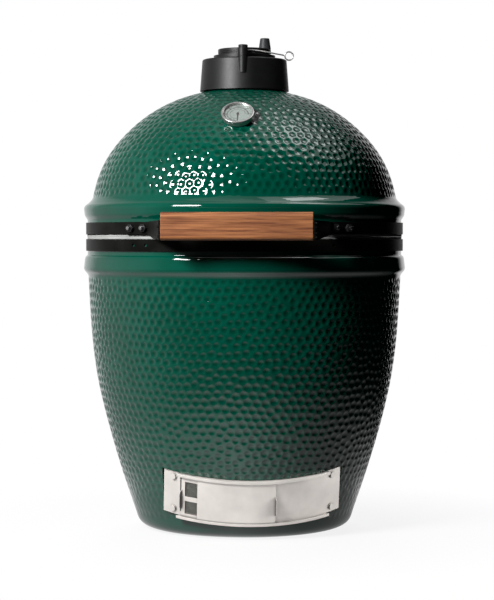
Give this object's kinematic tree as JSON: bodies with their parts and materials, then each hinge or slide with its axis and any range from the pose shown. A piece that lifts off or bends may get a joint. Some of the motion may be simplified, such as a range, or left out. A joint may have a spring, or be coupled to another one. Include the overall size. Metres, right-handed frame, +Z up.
{
  "type": "kamado ceramic grill",
  "caption": "Egg-shaped ceramic charcoal grill with a hinged dome, wooden handle, sliding draft door, dial thermometer and swinging chimney cap.",
  "frame": {"origin": "centre of the base's flat underside", "axes": "+Z up; -Y is the front, with the handle; the draft door is centred 7 degrees to its right; +X is to the right when facing the front"},
  "size_m": [0.5538, 0.6714, 0.84],
  "materials": {
    "green_glaze": "high gloss glaze over a dimpled surface",
    "fire_clay": "unglazed",
    "cast_iron": "rough",
    "grid_steel": "satin",
    "felt": "pressed felt",
    "black_powder_coat": "satin powder coat",
    "black_bolt": "black oxide",
    "zinc_steel": "bright zinc",
    "spring_steel": "oiled",
    "handle_wood": "oiled, fine grain along the bar",
    "stainless": "fine brushed",
    "wire_mesh": "woven",
    "dial_chrome": "polished",
    "dial_face": "satin silver print",
    "needle_black": "satin",
    "lens_glass": "clear",
    "cap_cast": "satin black coat",
    "knob_plastic": "matte",
    "seal_rubber": "matte"
  },
  "bodies": {
    "base": {"base_shell": "green_glaze", "fire_box": "fire_clay", "fire_grate": "cast_iron", "fire_ring": "fire_clay", "cooking_grid": "grid_steel", "base_gasket": "felt", "base_band": "black_powder_coat", "base_band_bolts": "black_bolt", "base_band_nuts": "black_bolt", "lower_hinge_bracket": "black_powder_coat", "hinge_pin": "zinc_steel", "hinge_pin_nut": "black_bolt", "hinge_sleeve": "zinc_steel", "torsion_spring_left": "spring_steel", "torsion_spring_right": "spring_steel", "draft_door_frame": "stainless", "frame_washers": "stainless", "frame_screws": "stainless"},
    "dome": {"dome_shell": "green_glaze", "dome_gasket": "felt", "dome_band": "black_powder_coat", "dome_band_bolts": "black_bolt", "dome_band_nuts": "black_bolt", "upper_hinge_bracket": "black_powder_coat", "handle_bar": "handle_wood", "handle_bracket_left": "black_powder_coat", "handle_bracket_right": "black_powder_coat", "handle_end_screws": "black_bolt", "handle_bolts": "zinc_steel", "handle_nuts": "black_bolt", "thermometer_case": "dial_chrome", "thermometer_stem": "dial_chrome", "thermometer_clip": "dial_chrome", "thermometer_dial": "dial_face", "thermometer_lens": "lens_glass", "vent_cap_body": "cap_cast", "vent_cap_seal": "seal_rubber", "lid_pivot_bolt": "black_bolt"},
    "needle": {"thermometer_needle": "needle_black"},
    "lid": {"vent_lid": "cap_cast", "wheel_bolt": "zinc_steel", "wheel_nut": "black_bolt", "vent_lever": "dial_chrome", "flange_screw": "zinc_steel"},
    "wheel": {"damper_wheel": "cap_cast", "vent_knob": "knob_plastic", "knob_screw": "zinc_steel"},
    "solid_door": {"draft_door": "stainless"},
    "mesh_door": {"screen_door": "stainless", "screen_mesh": "wire_mesh"}
  },
  "joints": [
    {"name": "dome_hinge", "type": "hinge", "parent": "base", "child": "dome", "pos_m": [0, 0.318, 0.4985], "axis": [-1, 0, 0], "range_deg": [0, 75], "deforming": ["torsion_spring_left", "torsion_spring_right"]},
    {"name": "vent_lid_swing", "type": "hinge", "parent": "dome", "child": "lid", "pos_m": [0, -0.0675, 0.81], "axis": [0, 0, -1], "range_deg": [0, 100]},
    {"name": "damper_wheel_turn", "type": "hinge", "parent": "lid", "child": "wheel", "pos_m": [0, 0, 0.8185], "axis": [0, 0, 1], "range_deg": [0, 36]},
    {"name": "needle_turn", "type": "hinge", "parent": "dome", "child": "needle", "pos_m": [-0.00417, -0.18375, 0.6932], "axis": [0.015, 0.6624, -0.749], "range_deg": [0, 270]},
    {"name": "draft_door_slide", "type": "hinge", "parent": "base", "child": "solid_door", "pos_m": [-0.00051, 0.00417, 0.1258], "axis": [0.0346, -0.2819, 0.9588], "range_deg": [-7.2, 25.7]},
    {"name": "screen_door_slide", "type": "hinge", "parent": "base", "child": "mesh_door", "pos_m": [-0.00051, 0.00417, 0.1258], "axis": [0.0346, -0.2819, 0.9588], "range_deg": [-1.4, 7.2]}
  ]
}
